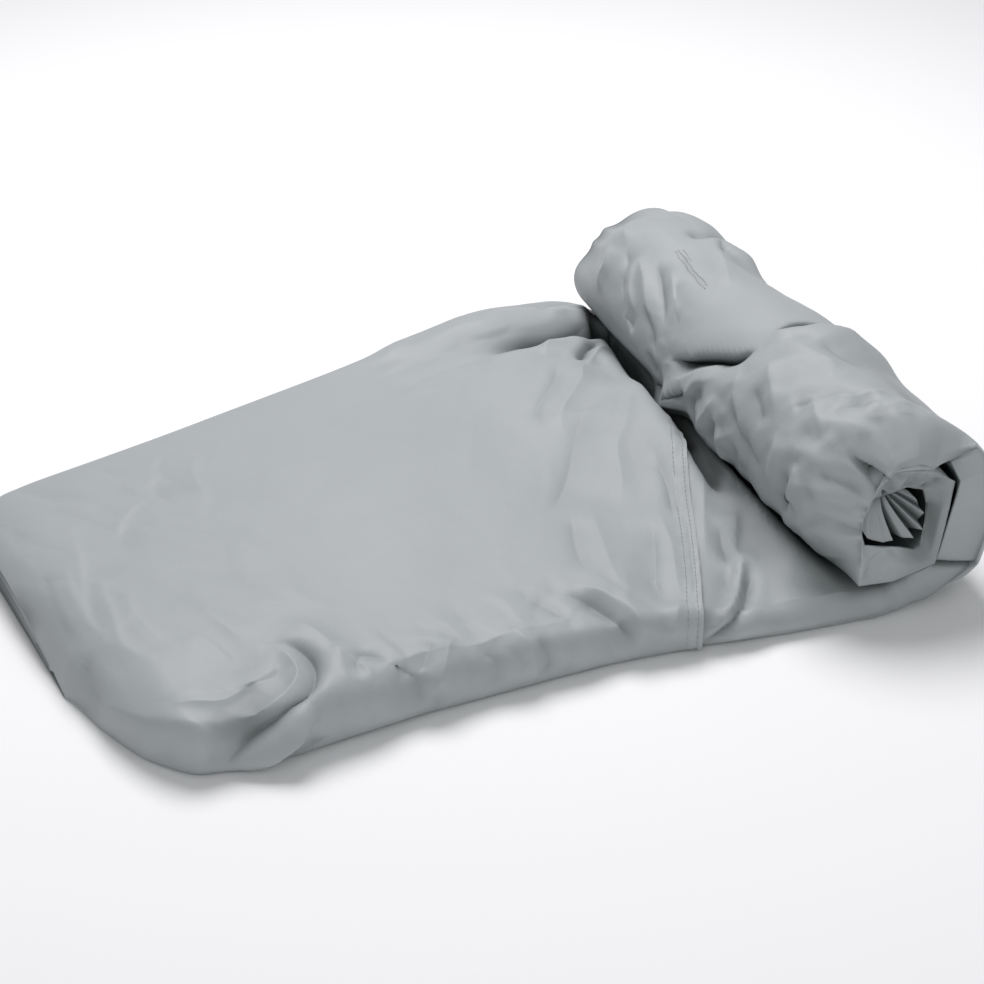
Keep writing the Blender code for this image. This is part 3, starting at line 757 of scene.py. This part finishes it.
# The roll's near end: corners of the spiral's outer and inner edge, by angle from under the roll.
# The inset is how far in from the end a corner lies, and the draw how far in its skin starts to turn in.
rollEnd = {
    "outer": columns("turned radius inset", [
        (0, 0.0885, 0.006), (20, 0.0865, 0.004), (52, 0.0900, 0), (90, 0.0840, 0), (118, 0.0785, 0),
        (128, 0.0770, 0.001), (134, 0.0620, 0.002), (147, 0.0455, 0.001), (165, 0.0460, 0.001),
        (188, 0.0430, 0.002), (202, 0.0385, 0.006), (236, 0.0310, 0.003), (262, 0.0330, 0), (284, 0.0335, 0),
        (330, 0.0610, 0), (359, 0.0550, 0), (396, 0.0575, 0), (429, 0.0440, 0.003), (472, 0.0515, 0.006),
        (504, 0.0400, 0.006), (548, 0.0385, 0.006), (595, 0.0270, 0.009), (640, 0.0250, 0.014),
    ]),
    "inner": columns("turned radius inset", [
        (0, 0.0620, 0.006), (36, 0.0600, 0.003), (112, 0.0535, 0.003), (126, 0.0560, 0.012),
        (131, 0.0560, 0.034), (138, 0.0480, 0.030), (147, 0.0415, 0.006),
        (188, 0.0400, 0.002), (202, 0.0360, 0.010), (236, 0.0280, 0.007), (262, 0.0295, 0.006), (284, 0.0305, 0.006),
        (305, 0.0330, 0.003), (368, 0.0270, 0.003), (386, 0.0360, 0.004), (396, 0.0390, 0.007), (420, 0.0310, 0.010),
        (450, 0.0280, 0.012), (480, 0.0270, 0.012), (516, 0.0215, 0.010), (556, 0.0175, 0.010), (595, 0.0220, 0.014),
        (640, 0.0190, 0.018),
    ]),
    "draw": columns("turned length", [
        (0, 0.020), (52, 0.018), (120, 0.018), (132, 0.019), (145, 0.024), (165, 0.034), (190, 0.042),
        (212, 0.048), (262, 0.048),
        (300, 0.045), (330, 0.040), (359, 0.040), (396, 0.020), (640, 0.020),
    ]),
    "starts": (4, 26),      # angles over which the end takes this shape
    "knee": 0.42,           # share of its way that the cloth runs straight on before it turns in
    "bulge": 0.0015,
    # the edge of the band's corner, which is folded up over the face
    "line": ((36, 0.060), (53, 0.0935)),
    "lineDepth": 0.009,
    "lineWidth": 0.0016,
    # painted shade: along the folded-up line, deeper into the end, and on the second turn's face
    "lineShade": 0.0020,
    "lineUntil": 90,
    "darkFrom": 0.011,      # how far in from the end it starts to darken
    "darkOver": 0.012,
    "secondTurn": (355, 390),
    "secondShade": (0.18, 0.25),
}


# Folds in the end faces of the turns, by angle and share of the way from the outer to the inner edge.
faceCreases = scaled([
    (6, 3, 6, [(392, 0.6), (410, 0.45), (440, 0.5), (470, 0.35)]),
    (-7.5, 3, 4, [(396, 0.95), (418, 0.7), (440, 0.85), (462, 0.8)]),
    (-9, 3, 5, [(478, 0), (486, 0.5), (498, 1)]),
    (6, 5, 3, [(500, 0.1), (506, 0.6), (514, 1)]),
    (-6, 4, 3, [(516, 0), (524, 0.5), (522, 1)]),
    (4.5, 3, 6, [(534, 0.1), (540, 0.6), (552, 1)]),
    (-6, 4, 5, [(556, 0), (562, 0.5), (572, 1)]),
    (4.5, 6, 8, [(338, 0.2), (346, 0.6), (352, 1)]),
    (-4.5, 4, 8, [(332, 0.05), (334, 0.4), (330, 0.9)]),
    (3, 6, 10, [(362, 0.2), (372, 0.5), (380, 0.9)]),
    (-6, 4, 8, [(146, 0.2), (142, 0.6), (140, 1)]),
    (4.5, 6, 6, [(160, 0), (156, 0.6), (152, 1)]),
], 3)


def faceFolds(turned, share):
    a, b = np.radians(turned) * 0.040, share * 0.020
    table = [(*row[:-1], [(math.radians(g) * 0.040, t * 0.020) for g, t in row[-1]]) for row in faceCreases]
    return creasesOf(a, b, table) + crumple(a, b, 26, 0.009, (0.06, 0.46, -0.02, 0.04), 0.0009, 0.8, 1.6, 0.005)


def endPoint(angle, radius, inset):
    rad = np.radians(angle)
    base = float(roll["radius"]["radius"][0])
    return (rollNear + rollAcross * inset[..., None] + rollForward * (np.sin(rad) * radius)[..., None]
            + np.array([0.0, 0.0, 1.0]) * (base - np.cos(rad) * radius)[..., None])


def endLine(table, turned):
    # Straight from corner to corner, so the end has flat facets.
    corners = endPoint(table["turned"], table["radius"], table["inset"])
    return np.stack([np.interp(turned, table["turned"], corners[:, k]) for k in range(3)], axis=-1)


def shapeEnd(points, turned, u, kind):
    outer, inner = endLine(rollEnd["outer"], turned), endLine(rollEnd["inner"], turned)
    draw = np.interp(turned, rollEnd["draw"]["turned"], rollEnd["draw"]["length"])
    amount = smooth(*rollEnd["starts"], turned)[None, :, None]
    skin, edge, inside = np.nonzero(kind == 0)[0], np.nonzero(kind == 0.5)[0], np.nonzero(kind == 1)[0]
    shaped = points.copy()
    for rows, rim in ((skin, outer), (inside, inner)):
        order = rows[np.argsort(u[rows, 0])]
        first = u[order[0]]
        reach = np.maximum(draw, first + 0.004)
        s = np.clip((reach - u[order]) / (reach - first), 0, 1)[..., None]
        # where the cloth would be at the start of the turn, and a little further out
        start = np.stack([[np.interp(reach[j], u[order, j], points[order, j, k]) for j in range(len(turned))]
                          for k in range(3)], axis=-1)
        knee = start - rollAcross * (reach * rollEnd["knee"])[:, None]
        turn = (1 - s) ** 2 * start + 2 * s * (1 - s) * knee + s * s * rim
        shaped[order] = np.where(s > 0, turn, points[order])
    share = (np.arange(1, len(edge) + 1) / (len(edge) + 1))[:, None, None]
    face = mix(outer[None], inner[None], share) - rollAcross * rollEnd["bulge"] * 4 * share * (1 - share)
    share = share[..., 0]
    folds = faceFolds(turned[None] + 0 * share, share + 0 * turned[None])
    face -= rollAcross * (folds * (4 * share * (1 - share)) ** 0.3)[..., None]
    # a groove across the face where the band's corner is folded up, with painted shade along it
    ends = [endPoint(np.array(a), np.array(r), np.array(0.0)) for a, r in rollEnd["line"]]
    line = np.array([[end @ rollForward, end[2]] for end in ends])
    away = nearest(face @ rollForward, face[..., 2], line)[0]
    lined = (turned < rollEnd["lineUntil"])[None]
    face = face + rollAcross * (rollEnd["lineDepth"] * np.exp(-away / rollEnd["lineWidth"]) * lined)[..., None]
    shaped[edge] = face
    shadeBase, shadeMore = rollEnd["secondShade"]
    # painted shade on the end face: deeper into the end, along the folded-up line, and on the second turn
    paintedShade = np.zeros(u.shape)
    paintedShade[edge] = np.maximum.reduce([
        np.clip(((face - rollNear) @ rollAcross - rollEnd["darkFrom"]) / rollEnd["darkOver"], 0, 1),
        np.exp(-away / rollEnd["lineShade"]) * lined,
        (shadeBase + shadeMore * share) * smooth(*rollEnd["secondTurn"], turned)[None],
    ])
    return mix(points, shaped, amount), paintedShade


def besideLines(a, b, lines, width, fade=0.25):
    # 1 on the lines, and 0 away from them and at their ends.
    share = np.zeros(a.shape)
    for line in lines:
        best, _, along, _, _ = nearest(a, b, through(line))
        ends = smooth(0, fade, along) * smooth(0, fade, 1 - along)
        share = np.maximum(share, np.exp(-(best / width) ** 2) * ends)
    return share


def leanOver(points, a, b, line, over, reach):
    # Slides the cloth left of a line over it, along the surface.
    shiftA, shiftB = lean(a, b, line, over, reach)
    ways = []
    for way in (np.gradient(points, axis=1), -np.gradient(points, axis=0)):
        ways.append(way / np.maximum(np.linalg.norm(way, axis=-1, keepdims=True), 1e-12))
    return points + ways[0] * shiftA[..., None] + ways[1] * shiftB[..., None]


# How the cloth is wound: rows of the grid, how it is drawn together beside creases, and where shade is painted on
# it.
winding = {
    "leadRows": 38,
    "turnRows": ((0, 360, 150), (34.5, 54, 14), (360, 360 * roll["turns"], 32)),
    "besideCreases": (0.009, 1.6, 0.1),
    "besideGaps": 0.014,
    "innerWidth": 0.020,        # of the hollow in the inner layers below a gap
    "innerSink": 1.5,
    "hidden": (330, 360),       # angles over which the folds end, out of sight
    "leanReach": 0.004,
    # painted shade: the width of the dark line along each gap
    "gapShadeWidth": 0.0040,
    "flap": (0.006, 0.005),     # how far the flap leans over, and its reach
    "rim": (0.0, 0.003),
    # painted shade: under the roll by the floor, inside the turns, on the inner layers, and in deep troughs until
    # the far end
    "underRoll": (285, 312),
    "underEntry": (0.004, 0.030),
    "underShade": 0.9,
    "insideEntry": (0.001, 0.012),
    "insideTurn": (0, 40),
    "darkFrom": 0.005,
    "darkOver": 0.006,
    "farEnd": (0.86, 0.92),
}


def rolledPanel():
    share = np.linspace(0, 1, winding["leadRows"])
    nearX = mix(seam["nearX"] - seam["lap"], roll["nearX"], share)
    farX = mix(seam["farX"] - seam["lap"], roll["farX"], share)
    bow = seam["bow"] * (1 - share)
    floor, _, floorShade = floorPart(nearX, farX, bow, rolledLayers, leadCreases, leadFolds, seam["drop"])

    turned = np.concatenate([np.linspace(*rows)[1:] for rows in winding["turnRows"]]
                            + [rollEnd["outer"]["turned"][1:-2], rollEnd["inner"]["turned"][1:-2]])
    turned = np.unique(np.round(turned, 2))
    width = np.full(turned.shape, rollLength)
    stack = mix(roll["stack"], roll["coreStack"], np.clip(turned / 360 / roll["turns"], 0, 1))
    u, level, kind = foldSection(width, lambda at: stack + 0 * at, rolledLayers)
    angle = np.broadcast_to(turned, u.shape).copy()
    skin = (kind == 0)
    gaps = [line for _, _, _, line in skinGaps]
    lines = [line for rise, _, _, line in skinCreases if abs(rise) >= sharpRise]
    a, b = gather(onSkin(angle[skin]), u[skin], lines, *winding["besideCreases"])
    a, b = gather(a, b, gaps, winding["besideGaps"])
    # the inner layers sink with the hollows of the skin, and more widely below its gaps
    seen = 1 - smooth(*winding["hidden"], angle)
    wide = winding["innerWidth"]
    inner = formsOf(onSkin(angle), np.minimum(u, rollLength), skinForms)
    inner += creasesOf(onSkin(angle), u, [(rise, wide, wide, line) for rise, _, _, line in skinGaps], 1)
    relief = winding["innerSink"] * np.minimum(inner, 0) * (1 - level) * seen
    relief[skin] = rollFolds(a, b) * seen[skin]
    # painted shade: a dark line along each gap
    gapShade = np.zeros(u.shape)
    gapShade[skin] = besideLines(a, b, gaps, winding["gapShadeWidth"])
    for line, over in zip(gaps, roll["over"]):
        shiftA, shiftB = lean(a, b, line, over, winding["leanReach"])
        a, b = a + shiftA, b + shiftB
    angle[skin], u[skin] = np.degrees(a / roll["meanSkin"]), b
    t = np.clip(u / rollLength, 0, 1)
    radius = curve(roll["radius"]["along"], roll["radius"]["radius"], t)
    reach = radius - roll["pitch"] * angle / 360 - level * stack + relief
    rad = np.radians(angle)
    wound = (rollNear + rollAcross * u[..., None] + rollForward * (np.sin(rad) * reach)[..., None]
             + np.array([0.0, 0.0, 1.0]) * (radius - np.cos(rad) * reach)[..., None])
    wound, faceShade = shapeEnd(wound, turned, u, kind)
    endRelief = creasesOf(onSkin(angle), np.maximum(u, 0), skinEnd) * (kind == 0)[:, None]
    endRelief += crumple(onSkin(angle), u, 25, 0.017, (0.22, 0.43, -0.04, 0.09), 0.0028, 0.9) * (kind == 0)[:, None]
    endRelief *= smooth(*winding["rim"], u) * (1 - smooth(*winding["hidden"], angle))
    wound = wound + normalsOf(wound) * endRelief[..., None]
    wound[skin] = leanOver(wound[skin], onSkin(angle[skin]), u[skin], skinEnd[0][-1], *winding["flap"])
    points = np.concatenate([floor, wound], axis=1)
    run = runOf(points)
    # painted shade where little light comes: in creases, gaps and deep troughs, by the floor, inside the turns, on
    # the inner layers and in the hollow of the end
    shade = winding["underShade"]
    paintedShade = np.maximum.reduce([
        paintedShadeOf(relief + endRelief), gapShade, faceShade,
        shade * smooth(*winding["underRoll"], angle) * smooth(*winding["underEntry"], u),
        (kind == 1)[:, None] * smooth(*winding["insideEntry"], u) * smooth(*winding["insideTurn"], angle),
        shade * (kind >= 2)[:, None] + 0 * u,
        np.clip((-relief - winding["darkFrom"]) / winding["darkOver"], 0, 1) * (1 - smooth(*winding["farEnd"], t)),
    ])
    paintedShade = np.concatenate([floorShade, paintedShade], axis=1)
    return sheetMesh("rolledPanel", points, run, paintedShade), (wound[skin], angle[skin], t[skin])


# The folded cloth in the middle of the roll, which shows as a fan of pleats.
rollCore = {
    "apex": (205, 0.0200, 0.020),
    "rim": columns("angle radius inset ridge", [
        (250, 0.0310, 0.008, 0.3), (274, 0.0305, 0.007, 0.7), (281, 0.0300, 0.008, 0.2), (300, 0.0285, 0.007, 0.8),
        (312, 0.0262, 0.007, 0.5), (330, 0.0230, 0.006, 0.9), (340, 0.0218, 0.006, 0.6), (352, 0.0205, 0.006, 0.8),
        (358, 0.0190, 0.010, -0.9), (376, 0.0215, 0.006, 0.3), (394, 0.0255, 0.005, 0.9), (399, 0.0230, 0.010, -0.8),
        (414, 0.0270, 0.005, 0.8), (422, 0.0235, 0.008, -0.6), (443, 0.0235, 0.007, 0.4), (450, 0.0215, 0.010, -0.4),
        (478, 0.0190, 0.009, 0.3), (504, 0.0190, 0.012, 0.0),
    ]),
    "depth": 0.0050,
    "curl": 0.0055,
    "tuck": 0.030,
    "cuts": (132, 26, 12),
    "start": 0.12,         # share of the way from the apex at which the pleats start
}


def corePleats():
    across, out, back = rollCore["cuts"]
    rim = rollCore["rim"]
    angle = np.linspace(rim["angle"][0], rim["angle"][-1], across + 1)
    edge = endPoint(rim["angle"], rim["radius"], rim["inset"])
    line = np.stack([np.interp(angle, rim["angle"], edge[:, k]) for k in range(3)], axis=-1)
    ridge = np.interp(angle, rim["angle"], rim["ridge"])
    apex = endPoint(np.array(rollCore["apex"][0]), np.array(rollCore["apex"][1]), np.array(rollCore["apex"][2]))
    s = np.linspace(rollCore["start"], 1, out + 1)[:, None, None]
    depth = ridge[None, :, None] * rollCore["depth"] * np.sin(0.8 * np.pi * s) ** 0.7
    # the pleats curl as they spread
    curl = rollCore["curl"] * np.sin(np.pi * s)
    front = mix(apex, line[None], s) - rollAcross * depth - rollForward * curl + np.array([0, 0, 1.0]) * curl
    middle = mix(apex, line, 0.55)
    b = (np.arange(1, back + 1) / back)[:, None, None]
    behind = mix(front[-1:], (mix(middle, line, 0.5) + rollAcross * rollCore["tuck"])[None], b ** 0.8)
    points = np.concatenate([front, behind])
    run = runOf(points)
    # painted shade in the core: all of it somewhat dark, more so near the apex and between the ridges, and fully
    # dark on the cloth tucked behind
    deep = np.clip(0.22 + (0.35 - ridge[None]) * s[..., 0] ** 0.5, 0.16, 1)
    deep = np.concatenate([np.maximum(deep, 0.9 * (1 - s[..., 0]) ** 3), np.ones(behind.shape[:2])])
    return sheetMesh("rollCore", points, run, deep)


def seamEdge(points, back):
    # The lines that the stitch rows follow: from the near side's foot up and across the top.
    lines = []
    for row in seam["stitchRows"]:
        line = []
        for k in range(points.shape[0]):
            order = np.argsort(back[k])
            line.append([np.interp(row, back[k][order], points[k, order, axis]) for axis in range(3)])
        line = np.array(line)
        top = np.argmax(line[:, 2])
        first = np.nonzero((line[:, 2] > seam["stitchFoot"]) & (np.arange(len(line)) <= top))[0][0]
        # only the outer cloth, up to where it goes in under the roll
        lines.append(line[first:seam["stitchEnd"]])
    return lines


def stitchRow(name, lines, lift):
    # Small rounded stitches set along lines that lie on the cloth.
    mesh = bmesh.new()
    for line in lines:
        away = np.concatenate([[0], np.cumsum(np.linalg.norm(np.diff(line, axis=0), axis=1))])
        places = np.arange(stitch["pitch"], away[-1] - stitch["pitch"], stitch["pitch"])
        for place in places:
            ends = [Vector([np.interp(place + half * stitch["length"] / 2, away, line[:, k]) for k in range(3)])
                    for half in (-1, 1)]
            middle = (ends[0] + ends[1]) / 2 + Vector(lift) * stitch["height"] * 0.4 + Vector(frameShift)
            turn = (ends[1] - ends[0]).to_track_quat("X", "Z").to_matrix().to_4x4()
            size = Matrix.Diagonal((stitch["length"] / 2, stitch["width"] / 2, stitch["height"] / 2, 1))
            bmesh.ops.create_uvsphere(mesh, u_segments=6, v_segments=4, radius=1.0,
                                      matrix=Matrix.Translation(middle) @ turn @ size)
    data = bpy.data.meshes.new(name)
    mesh.to_mesh(data)
    mesh.free()
    data.shade_smooth()
    return addObject(name, data)


def skinCurve(grid, line):
    # A line on the roll's skin, through the nearest of its points.
    points, angle, t = grid
    a, b = onSkin(angle), t * rollLength
    dense = through([(math.radians(g) * roll["meanSkin"], s * rollLength) for g, s in line], 10)
    return np.array([points.reshape(-1, 3)[np.argsort(((a - p) ** 2 + (b - q) ** 2).ravel())[:4]].mean(axis=0)
                     for p, q in dense])


rollStitches = [
    [(190.0, 0.748), (192.0, 0.700), (194.5, 0.660), (196.0, 0.620), (196.5, 0.582)],
    [(187.5, 0.748), (189.0, 0.705), (191.5, 0.662), (193.0, 0.622), (193.5, 0.585)],
    [(184.0, 0.742), (185.5, 0.715), (187.0, 0.685)],
]

print("sheets")
flat, seamLines = flatPanel()
rolled, skinGrid = rolledPanel()
core = corePleats()
seamStitches = stitchRow("seamStitches", seamLines, (0, 0, 1))
tuckStitches = stitchRow("tuckStitches", [skinCurve(skinGrid, line) for line in rollStitches], (-0.1, 0, 1))


class Wire:
    # A shader socket that takes part in sums.
    def __init__(self, tree, socket):
        self.tree = tree
        self.socket = socket

    def sum(self, operation, other, swapped=False):
        first, second = (other, self) if swapped else (self, other)
        return self.tree.node("ShaderNodeMath", {"operation": operation}, {0: first, 1: second})["Value"]

    def __add__(self, other): return self.sum("ADD", other)
    def __radd__(self, other): return self.sum("ADD", other, True)
    def __sub__(self, other): return self.sum("SUBTRACT", other)
    def __rsub__(self, other): return self.sum("SUBTRACT", other, True)
    def __mul__(self, other): return self.sum("MULTIPLY", other)
    def __rmul__(self, other): return self.sum("MULTIPLY", other, True)


class Tree:
    def __init__(self, name):
        self.material = bpy.data.materials.new(name)
        self.material.use_nodes = True
        self.nodes = self.material.node_tree.nodes
        self.links = self.material.node_tree.links
        self.shader = self.nodes["Principled BSDF"]

    def node(self, kind, settings=None, sockets=None):
        made = self.nodes.new(kind)
        for key, value in (settings or {}).items():
            setattr(made, key, value)
        for key, value in (sockets or {}).items():
            self.put(made.inputs[key], value)
        return {socket.name: Wire(self, socket) for socket in made.outputs if socket.enabled}

    def put(self, socket, value):
        if isinstance(value, Wire):
            self.links.new(value.socket, socket)
        else:
            socket.default_value = value


cloth = {
    "colour": (0.400, 0.425, 0.430, 1),
    "shade": (0.355, 0.380, 0.385, 1),
    # painted shade: the colour, and its share, to which the cloth darkens where shade falls
    "paintedShade": (0.035, 0.048, 0.048, 1),
    "paintedShadeShare": 0.92,
    "roughness": 0.54,
    "roughnessSpread": 0.10,
    "specular": 0.42,
    "threads": 1 / 0.0006,       # threads in a metre
}


def clothMaterial():
    tree = Tree("coatedCloth")
    place = tree.node("ShaderNodeTexCoord")
    clouds, fine = [tree.node("ShaderNodeTexNoise", None,
                              {"Vector": place["Object"], "Scale": scale, "Detail": detail})["Fac"]
                    for scale, detail in ((9.0, 4.0), (60.0, 3.0))]
    paintedShade = tree.node("ShaderNodeAttribute", {"attribute_name": "paintedShade"})["Fac"]
    tone = tree.node("ShaderNodeMix", {"data_type": "RGBA"},
                     {"Factor": clouds, 6: cloth["colour"], 7: cloth["shade"]})["Result"]
    # painted shade: the tone is mixed towards the shade colour by the stored painted shade
    tone = tree.node("ShaderNodeMix", {"data_type": "RGBA"},
                     {"Factor": paintedShade * cloth["paintedShadeShare"], 6: tone, 7: cloth["paintedShade"]})["Result"]
    warp, weft = [tree.node("ShaderNodeTexWave", {"bands_direction": way},
                            {"Vector": place["UV"], "Scale": cloth["threads"] / 6.2832})["Fac"] for way in "XY"]
    threads = tree.node("ShaderNodeBump", None, {"Strength": 0.08, "Distance": 0.0002, "Height": warp * weft})
    uneven = tree.node("ShaderNodeBump", None,
                       {"Strength": 0.25, "Distance": 0.002, "Height": fine, "Normal": threads["Normal"]})
    spread = cloth["roughnessSpread"]
    tree.put(tree.shader.inputs["Roughness"], cloth["roughness"] + clouds * spread - spread / 2)
    tree.put(tree.shader.inputs["Normal"], uneven["Normal"])
    tree.put(tree.shader.inputs["Base Color"], tone)
    tree.shader.inputs["Specular IOR Level"].default_value = cloth["specular"]
    return tree.material


clothSkin = clothMaterial()
for piece, node in ((flat, "flat_panel"), (rolled, "rolled_panel")):
    piece.data.materials.append(clothSkin)
    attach(piece, "root")
    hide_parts(node)
    node + "_cloth"
    faces = len(piece.data.polygons)
    area = sum(face.area for face in piece.data.polygons)
    print(piece.name, faces * 2, "triangles", round(area, 3), "square metres")
thread = Tree("thread")
thread.shader.inputs["Base Color"].default_value = (0.26, 0.275, 0.28, 1)
thread.shader.inputs["Roughness"].default_value = 0.6
for piece, node in ((seamStitches, "flat_panel"), (tuckStitches, "rolled_panel")):
    piece.data.materials.append(thread.material)
    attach(piece, "root")
    node + "_cloth"
core.data.materials.append(clothSkin)
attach(core, "root")
coreArea = sum(face.area for face in core.data.polygons)
coreArea / 0.05


# The floor, the lights and the camera.

studio = {
    "floor": (0.94, 0.94, 0.94, 1),
    "floorSize": 6.0,
    "floorHeight": -0.0002,
    "azimuth": -30,
    "elevation": 30,
    "aim": (0.0, 0.0, 0.04),
    "distance": 1.8587,
    "lens": 85,
    "sensor": 36,
    "world": (0.95, 0.97, 1.0, 1),
    "worldStrength": 0.30,
}


def floorPlane():
    mesh = bmesh.new()
    bmesh.ops.create_grid(mesh, x_segments=1, y_segments=1, size=studio["floorSize"])
    data = bpy.data.meshes.new("floor")
    mesh.to_mesh(data)
    mesh.free()
    plane = addObject("floor", data)
    plane.location.z = studio["floorHeight"]
    paint = Tree("floorPaint")
    paint.shader.inputs["Base Color"].default_value = studio["floor"]
    paint.shader.inputs["Roughness"].default_value = 0.9
    paint.shader.inputs["Specular IOR Level"].default_value = 0.1
    data.materials.append(paint.material)


def areaLight(name, place, size, power, colour):
    # A round light aimed at the middle of the floor.
    light = bpy.data.lights.new(name, "AREA")
    light.shape = "DISK"
    light.size = size
    light.energy = power
    light.color = colour
    lamp = addObject(name, light)
    lamp.location = place
    lamp.rotation_euler = (-Vector(place)).to_track_quat("-Z", "Y").to_euler()


def camera():
    azimuth, elevation = math.radians(studio["azimuth"]), math.radians(studio["elevation"])
    level = math.cos(elevation)
    back = Vector((math.sin(azimuth) * level, -math.cos(azimuth) * level, math.sin(elevation)))
    data = bpy.data.cameras.new("camera")
    data.lens = studio["lens"]
    data.sensor_width = studio["sensor"]
    data.clip_start = 0.05
    view = addObject("camera", data)
    view.location = Vector(studio["aim"]) + Vector(frameShift) + back * studio["distance"]
    view.rotation_euler = (-back).to_track_quat("-Z", "Y").to_euler()
    bpy.context.scene.camera = view


floorPlane()
world = bpy.data.worlds.new("studio")
world.use_nodes = True
background = world.node_tree.nodes["Background"]
background.inputs["Color"].default_value = studio["world"]
background.inputs["Strength"].default_value = studio["worldStrength"]
bpy.context.scene.world = world
areaLight("key", (0.30, 0.80, 1.9), 1.3, 37, (1.0, 0.98, 1.0))
areaLight("fill", (0.3, -2.1, 1.3), 1.6, 6, (0.98, 1.0, 1.0))
areaLight("side", (-1.6, -1.5, 1.5), 1.6, 7, (0.98, 1.0, 1.0))
camera()
bpy.context.scene.view_settings.view_transform = "Standard"

print("done")
